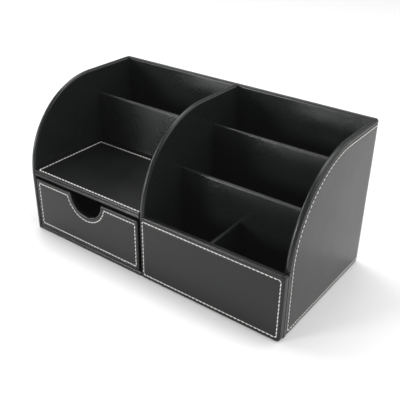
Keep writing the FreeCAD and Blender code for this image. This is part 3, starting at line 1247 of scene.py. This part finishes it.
@dataclass
class OuterShell:
    """The outer walls' leather: the stitched sheet round them, and the linings over their rims.

    Sheet and lining meet in a seam that runs inside the rim. Each sinks into it by rows of (how far
    from the seam, how deep). Past the rim the lining has rows of (how far past, how far above the
    foot), and nowhere past the seam does it lie nearer the outer face than its tuck.
    """

    shop: Workshop
    wall: float = 4.4 * MM
    rim: float = 2.1 * MM
    rim_parts: int = 8
    seam: float = 3.5 * MM
    sheet_roll: tuple[Row, ...] = ((0.75 * MM, 0.04 * MM), (0.45 * MM, 0.14 * MM),
                                   (0.2 * MM, 0.34 * MM), (0.0, 0.6 * MM))
    lining_roll: tuple[Row, ...] = ((0.05 * MM, 0.6 * MM), (0.12 * MM, 0.25 * MM),
                                    (0.35 * MM, 0.06 * MM), (0.7 * MM, 0.0))
    inner_rows: tuple[Row, ...] = ((0.8 * MM, 0.4 * MM), (2.4 * MM, 2.0 * MM))
    tuck: float = 1.3 * MM
    step_share: float = 0.1
    folded_past_seam: float = 0.8 * MM
    sheet_unevenness: float = 0.06 * MM
    sheet_wave: float = 18.0 * MM
    lining_unevenness: float = 0.07 * MM
    stitch: StitchLine = StitchLine(Sides(5.0 * MM, 5.0 * MM, 3.3 * MM, 5.0 * MM))

    def __post_init__(self) -> None:
        """Takes the walls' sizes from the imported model."""
        left_low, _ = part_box("left_wall_lining")
        right_low, right_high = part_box("right_wall_lining")
        _, back_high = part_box("outer_cover")
        self.foot = left_low.z - TURNED_UNDER
        self.top = right_high.z
        self.panel_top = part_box("front_panel_cover")[1].z
        self.way = WayRound(right_high.x, right_low.y, left_low.y, back_high.y)

    def outline(self, start: float, end: float, start_radius: float,
                end_radius: float) -> WallOutline:
        """A stretch of the unrolled walls.

        Args:
            start: Where along the way it starts.
            end: Where it ends.
            start_radius: The radius of its starting end, 0 for an upright one.
            end_radius: The radius of its other end.

        Returns:
            Its outline, which has the front panel's step at a curved start.
        """
        return WallOutline(start, end, self.foot, self.top, start_radius, end_radius,
                           step_height=self.panel_top if start_radius else 0.0,
                           step_share=self.step_share, folded=self.seam + self.folded_past_seam)

    def build(self) -> None:
        """Makes the sheet, its stitches and the three linings."""
        self.sheet()
        first, second = self.way.mitres()
        self.lining("right_wall_lining", self.outline(0.0, first, WALL_ARC, 0.0), (1, 0))
        self.lining("back_lining", self.outline(first, second, 0.0, 0.0), (0, 0))
        self.lining("left_wall_lining",
                    self.outline(second, self.way.length(), 0.0, WALL_ARC), (0, 1))

    def sheet(self) -> None:
        """Makes the stitched sheet over the left wall, the back and the right wall."""
        at_edge = Sides(self.seam, self.seam, 0.0, self.seam)
        rings = self.stitch.rings()
        rings += [Ring(at_edge.shifted(away), depth) for away, depth in self.sheet_roll]
        outline = self.outline(0.0, self.way.length(), WALL_ARC, WALL_ARC)
        wrap = Wrap(outline, self.way.place, rings, back_face=False, bends=self.way.bends())
        self.shop.fit_sewn(wrap, self.stitch, "outer_cover", ("outer_cover", "outer_cover_thread"),
                           slot=Slot.OUTER_LEATHER, unevenness=self.sheet_unevenness,
                           wave=self.sheet_wave)

    def lining(self, node: str, outline: WallOutline, curved: tuple[int, int]) -> None:
        """Makes one wall's lining, folded over its rim to the seam.

        Args:
            node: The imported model's lining.
            outline: The wall's stretch of the unrolled walls.
            curved: 1 for each end that is a rim, 0 for a mitre.
        """
        def ring(inset: float, depth: float, foot: float = 0.0) -> Ring:
            """A ring that is drawn in only from the wall's rims and its foot."""
            return Ring(Sides(inset * curved[0], inset * curved[1], foot, inset), depth)

        def tucked(along: float, height: float, depth: float) -> Vector:
            """Lays a point on the wall, but no nearer to the sheet than the tuck past the seam."""
            past_seam = outline.from_rim(along, height) > self.seam
            return self.way.place(along, height, max(depth, self.tuck) if past_seam else depth)

        edge = rounding(self.rim, self.rim_parts)
        rings = [ring(self.seam - away, depth) for away, depth in self.lining_roll]
        rings += [ring(inset, depth) for inset, depth in edge]
        rings += [ring(inset, self.wall - depth) for inset, depth in reversed(edge)]
        rings += [ring(self.rim + past, self.wall, above) for past, above in self.inner_rows]
        wrap = Wrap(outline, tucked, rings, show_face=False)
        piece = wrap.build(node + "_leather", self.lining_unevenness)
        stay_above(piece, self.foot)
        self.shop.fit(piece, Body.CARCASS, Slot.LINING_LEATHER, node)


@dataclass
class Partitions:
    """The divider and the four thin partitions, wrapped in lining leather.

    Their rims are rounded, and their other edges keep square but for a small share of that. Each
    face has rows of points this far past the rounding. The divider's foot is sunk into the front
    panel's rim.
    """

    shop: Workshop
    divider_rim: float = 2.1 * MM
    thin_rim: float = 1.3 * MM
    rim_parts: int = 7
    square: float = 0.04
    face_rows: Row = (4.0 * MM, 1.0 * MM)
    sunk: float = 1.6 * MM
    thin_spacing: float = 1.6 * MM
    divider_unevenness: float = 0.07 * MM
    thin_unevenness: float = 0.08 * MM

    def build(self) -> None:
        """Makes the five wraps."""
        self.divider()
        for name in ("left_partition", "middle_partition", "rear_partition", "pocket_divider"):
            self.thin(name)

    def rings(self, wall: float, rim: float, shares: Sides) -> list[Ring]:
        """The lines from one face of a wall over its rim to the other.

        Args:
            wall: The wall's thickness.
            rim: The radius of its rim.
            shares: How much of that each side has.

        Returns:
            The rings.
        """
        face = [Ring(shares.scaled(rim + past), 0.0) for past in self.face_rows]
        edge = rounding(rim, self.rim_parts)
        face += [Ring(shares.scaled(inset), depth) for inset, depth in edge]
        return face + [Ring(ring.inset, wall - ring.depth) for ring in reversed(face)]

    def divider(self) -> None:
        """Makes the wall between the halves."""
        low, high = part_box("divider_wrap")
        _, panel_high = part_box("front_panel_cover")
        outline = WallOutline(low.y, high.y, low.z, high.z, start_radius=WALL_ARC,
                              step_height=panel_high.z - self.sunk, step_back=panel_high.y - low.y,
                              folded=self.divider_rim)
        shares = Sides(1.0, self.square, self.square, 1.0)
        rings = self.rings(high.x - low.x, self.divider_rim, shares)
        piece = Wrap(outline, facing_right(high.x), rings).build(
            "divider_leather", self.divider_unevenness)
        self.shop.fit(piece, Body.CARCASS, Slot.LINING_LEATHER, "divider_wrap")

    def thin(self, name: str) -> None:
        """Makes one thin partition, across the width or along the depth.

        Args:
            name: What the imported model's node for its wrap starts with.
        """
        low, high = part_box(name + "_wrap")
        size = high - low
        across = size.x > size.y
        start, end = (low.x, high.x) if across else (low.y, high.y)
        outline = Rectangle(start, end, low.z, high.z, spacing=self.thin_spacing)
        place = facing_front(low.y) if across else facing_right(high.x)
        shares = Sides(self.square, self.square, self.square, 1.0)
        rings = self.rings(min(size.x, size.y), self.thin_rim, shares)
        piece = Wrap(outline, place, rings).build(name + "_leather", self.thin_unevenness)
        self.shop.fit(piece, Body.CARCASS, Slot.LINING_LEATHER, name + "_wrap")


@dataclass(frozen=True)
class StitchedBoard:
    """A board in leather with stitching on its show face: its seam, roundings and edge.

    The shares say how much of a rounding each side has. A board with a crease has it on its edge,
    that far behind the show face, pressed in by rows of (share of its width, share of its depth).
    """

    stitch: StitchLine
    front_radius: float
    back_radius: float
    front_shares: Sides
    back_shares: Sides
    crease: float = 0.0
    crease_width: float = 1.2 * MM
    crease_depth: float = 0.8 * MM
    pressed: tuple[Row, ...] = ((-0.5, 0.0), (-0.3, 0.35), (0.0, 1.0), (0.3, 0.35), (0.5, 0.0))
    back_row: float = 1.0 * MM

    def rings(self, thickness: float) -> list[Ring]:
        """The lines from the show face's middle, over the edges, to the back's middle.

        Args:
            thickness: How thick the board is in its leather.

        Returns:
            The rings.
        """
        rings = self.stitch.rings()
        rings += [Ring(self.front_shares.scaled(inset), depth)
                  for inset, depth in rounding(self.front_radius)]
        if self.crease:
            rings += [Ring(self.front_shares.scaled(self.crease_depth * share),
                           self.crease + self.crease_width * at) for at, share in self.pressed]
        rings += [Ring(self.back_shares.scaled(inset), thickness - depth)
                  for inset, depth in reversed(rounding(self.back_radius))]
        behind = self.back_shares.scaled(self.back_radius).shifted(self.back_row)
        return [*rings, Ring(behind, thickness)]


@dataclass
class FrontPanel:
    """The low panel in front of the right half, whose left edge stands back from the drawer."""

    shop: Workshop
    reveal: float = 0.6 * MM
    corner: float = 2.4 * MM
    least_corner: float = 1.6 * MM
    board: StitchedBoard = StitchedBoard(
        StitchLine(Sides(2.7 * MM, 2.8 * MM, 3.1 * MM, 3.8 * MM)),
        front_radius=1.0 * MM, back_radius=2.4 * MM,
        front_shares=Sides(1.0, 2.2, 0.2, 1.0), back_shares=Sides(0.1, 0.1, 0.05, 1.0))

    def build(self) -> None:
        """Makes the panel's leather and its stitches."""
        low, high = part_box("front_panel_cover")
        outline = Rectangle(low.x + self.reveal, high.x, low.z - TURNED_UNDER, high.z,
                            corner=self.corner, least_corner=self.least_corner)
        wrap = Wrap(outline, facing_front(low.y), self.board.rings(high.y - low.y))
        self.shop.fit_sewn(wrap, self.board.stitch, "front_panel",
                           ("front_panel_cover", "front_panel_thread"))


@dataclass
class Tray:
    """The tray's floor over the drawer, with the crease of its glued leather along its nose."""

    shop: Workshop
    board: StitchedBoard = StitchedBoard(
        StitchLine(Sides(4.2 * MM, 1.1 * MM, 1.8 * MM, 6.4 * MM)),
        front_radius=1.3 * MM, back_radius=1.2 * MM,
        front_shares=Sides(0.1, 0.1, 1.0, 0.1), back_shares=Sides(0.1, 0.1, 1.0, 0.1),
        crease=2.3 * MM)

    def build(self) -> None:
        """Makes the shelf's leather and its stitches."""
        low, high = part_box("shelf_cover")
        outline = Rectangle(low.x, high.x, low.y, high.y)
        wrap = Wrap(outline, facing_up(high.z), self.board.rings(high.z - low.z))
        self.shop.fit_sewn(wrap, self.board.stitch, "shelf", ("shelf_cover", "shelf_thread"))


@dataclass
class Drawer:
    """The drawer: its stitched front with a finger notch, its card walls and its flocked floor."""

    shop: Workshop
    corner: float = 1.0 * MM
    notch_shift: float = 1.45 * MM
    flock: Mat = Mat("drawer_lining", corner=0.6 * MM)
    board: StitchedBoard = StitchedBoard(
        StitchLine(Sides(3.6 * MM, 2.7 * MM, 3.7 * MM, 3.6 * MM, 3.9 * MM)),
        front_radius=1.0 * MM, back_radius=1.0 * MM,
        front_shares=Sides(1.0, 1.0, 0.6, 1.0, 1.0), back_shares=Sides(0.5, 0.5, 0.05, 1.0, 1.0))

    def build(self, frame: dict) -> None:
        """Makes the front's leather and stitches and the flock, and finishes the card.

        Args:
            frame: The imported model.
        """
        low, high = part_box("drawer_front_cover")
        outline = NotchedRectangle(low.x, high.x, low.z - TURNED_UNDER, high.z,
                                   corner=self.corner, least_corner=self.corner,
                                   notch_centre=(low.x + high.x) / 2 + self.notch_shift)
        wrap = Wrap(outline, facing_front(low.y), self.board.rings(high.y - low.y))
        self.shop.fit_sewn(wrap, self.board.stitch, "drawer_front",
                           ("drawer_front_cover", "drawer_front_thread"), Body.DRAWER)
        flock = self.flock.build("drawer_flock")
        self.shop.fit(flock, Body.DRAWER, Slot.DRAWER_FLOCK, "drawer_lining")
        self.flock.flat()
        self.shop.keep(frame, Slot.DRAWER_CARD, "drawer_left_side", "drawer_right_side",
                       "drawer_back", "drawer_floor")
        self.shop.keep(frame, Slot.FIBREBOARD, "drawer_front_board")


@dataclass
class Base:
    """The bottom: leather on its floor that turns down over the front under the drawer, and felt.

    The leather's nose is rounded, and it runs on under the base, just clear of the table.
    """

    shop: Workshop
    nose: float = 1.0 * MM
    sheet: float = 0.6 * MM
    turned_back: float = 2.0 * MM
    under_bend: float = 0.4 * MM
    clearance: float = 0.1 * MM
    spacing: float = 3.0 * MM
    unevenness: float = 0.05 * MM
    wave: float = 16.0 * MM
    felt: Mat = Mat("base_felt", corner=3.0 * MM)

    def build(self, frame: dict) -> None:
        """Makes the floor's leather and the felt, and finishes every board.

        Args:
            frame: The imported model.
        """
        self.floor()
        felt = self.felt.build("base_felt_pad")
        self.shop.fit(felt, Body.CARCASS, Slot.FELT, "base_felt")
        self.felt.flat()
        boards = ("left_wall", "right_wall", "back", "divider", "front_panel", "shelf", "base",
                  "left_partition", "middle_partition", "rear_partition", "pocket_divider")
        self.shop.keep(frame, Slot.FIBREBOARD, *(board + "_board" for board in boards))

    def floor(self) -> None:
        """Makes the floor's leather: one run under the drawer, one behind the front panel."""
        low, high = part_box("floor_cover")
        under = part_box("base_felt")[0].z + self.clearance
        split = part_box("divider_wrap")[0].x
        panel_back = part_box("front_panel_cover")[1].y
        turned = [(low.y + self.turned_back, under), (low.y + self.under_bend, under)]
        turned += [(low.y, low.z), (low.y, (low.z + high.z - self.nose) / 2)]
        turned += [(low.y + inset, high.z - depth)
                   for inset, depth in reversed(rounding(self.nose))]
        spots: list[Vector] = []
        faces: Faces = []
        for x0, x1, front in ((low.x, split, turned), (split, high.x, [(panel_back, high.z)])):
            rows = max(2, round((high.y - front[-1][0]) / self.spacing))
            columns = max(2, round((x1 - x0) / self.spacing))
            profile = [*front, *between(front[-1], (high.y, high.z), rows), (high.y, high.z)]
            first = len(spots)
            for y, z in profile:
                spots += [Vector((x0 + (x1 - x0) * k / columns, y, z))
                          for k in range(columns + 1)]
            for row in range(len(profile) - 1):
                for k in range(columns):
                    corner = first + row * (columns + 1) + k
                    faces.append((corner, corner + 1, corner + columns + 2, corner + columns + 1))
        piece = settled(new_piece("floor_leather", spots, faces), self.sheet, self.unevenness,
                        self.wave)
        self.shop.fit(piece, Body.CARCASS, Slot.LINING_LEATHER, "floor_cover")


@dataclass(frozen=True)
class Softbox:
    """A square soft light: where it stands, how wide it is and its power in watts."""

    name: str
    place: Spot
    width: float
    watts: float

    def build(self, aim: Vector) -> None:
        """Makes the light.

        Args:
            aim: What it points at.
        """
        data = bpy.data.lights.new(self.name, "AREA")
        data.shape = "SQUARE"
        data.size = self.width
        data.energy = self.watts
        light = bpy.data.objects.new(self.name, data)
        bpy.context.scene.collection.objects.link(light)
        light.location = self.place
        light.rotation_mode = "QUATERNION"
        light.rotation_quaternion = (aim - Vector(self.place)).to_track_quat("-Z", "Y")


@dataclass(frozen=True)
class Studio:
    """The photograph's viewpoint, a white table in a white room, and soft lights."""

    eye_mm: Spot = (286.2, -377.3, 311.6)
    heading: float = math.radians(-36.407)
    pitch: float = math.radians(-29.492)
    roll: float = math.radians(0.835)
    lens_mm: float = 57.577
    sensor_mm: float = 36.0
    table_size: float = 8.0
    room_colour: str = "#ffffff"
    room_strength: float = 0.38
    stray_light: float = 0.003
    aim: Spot = (0.0, 0.0, 0.05)
    lights: tuple[Softbox, ...] = (
        Softbox("back_right_softbox", (1.47, 1.47, 1.20), width=1.6, watts=11.5),
        Softbox("right_softbox", (1.70, 0.0, 1.70), width=1.3, watts=17.0),
        Softbox("overhead_softbox", (0.0, 0.62, 2.32), width=1.5, watts=22.0),
        Softbox("high_left_softbox", (-1.15, 0.40, 2.08), width=1.0, watts=19.0),
        Softbox("left_softbox", (-1.63, -0.44, 0.62), width=0.6, watts=10.0),
        Softbox("front_left_softbox", (-0.97, -1.60, 0.46), width=0.5, watts=19.0),
    )

    def build(self) -> None:
        """Makes the camera, the table, the surroundings and the lights."""
        self.camera()
        self.table()
        self.room()
        self.film()
        for light in self.lights:
            light.build(Vector(self.aim))

    def camera(self) -> None:
        """Makes the camera at the photograph's viewpoint."""
        data = bpy.data.cameras.new("viewpoint")
        data.sensor_width = self.sensor_mm
        data.lens = self.lens_mm
        data.clip_start = 0.01
        camera = bpy.data.objects.new("viewpoint", data)
        bpy.context.scene.collection.objects.link(camera)
        forward = Vector((math.sin(self.heading) * math.cos(self.pitch),
                          math.cos(self.heading) * math.cos(self.pitch), math.sin(self.pitch)))
        camera.location = Vector(self.eye_mm) * MM
        camera.rotation_mode = "QUATERNION"
        level = forward.to_track_quat("-Z", "Y")
        camera.rotation_quaternion = level @ Quaternion((0, 0, 1), self.roll)
        bpy.context.scene.camera = camera

    def table(self) -> None:
        """Makes the white table top."""
        half = self.table_size / 2
        ways = ((-1, -1), (1, -1), (1, 1), (-1, 1))
        corners = [Vector((x * half, y * half, 0.0)) for x, y in ways]
        table = new_piece("table", corners, [(0, 1, 2, 3)])
        table.data.materials.append(GlossyTable().material())

    def room(self) -> None:
        """Makes the plain white room."""
        world = bpy.data.worlds.new("white_room")
        world.use_nodes = True
        world.node_tree.nodes.clear()
        room = add_node(world.node_tree, "ShaderNodeBackground",
                        {"Color": linear(self.room_colour), "Strength": self.room_strength})
        add_node(world.node_tree, "ShaderNodeOutputWorld", {},
                 {"Surface": room.outputs["Background"]})
        bpy.context.scene.world = world

    def film(self) -> None:
        """Sets the plain tone curve, with the little light that a white room scatters in a lens."""
        view = bpy.context.scene.view_settings
        view.view_transform = "Standard"
        view.use_curve_mapping = True
        view.curve_mapping.black_level = (-self.stray_light,) * 3
        view.curve_mapping.update()


def main() -> None:
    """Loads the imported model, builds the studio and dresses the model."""
    logging.basicConfig(level=logging.INFO, format="%(name)s: %(message)s")
    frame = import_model()
    Studio().build()
    shop = Workshop()
    OuterShell(shop).build()
    Partitions(shop).build()
    FrontPanel(shop).build()
    Tray(shop).build()
    Base(shop).build(frame)
    Drawer(shop).build(frame)


if __name__ == "__main__":
    main()
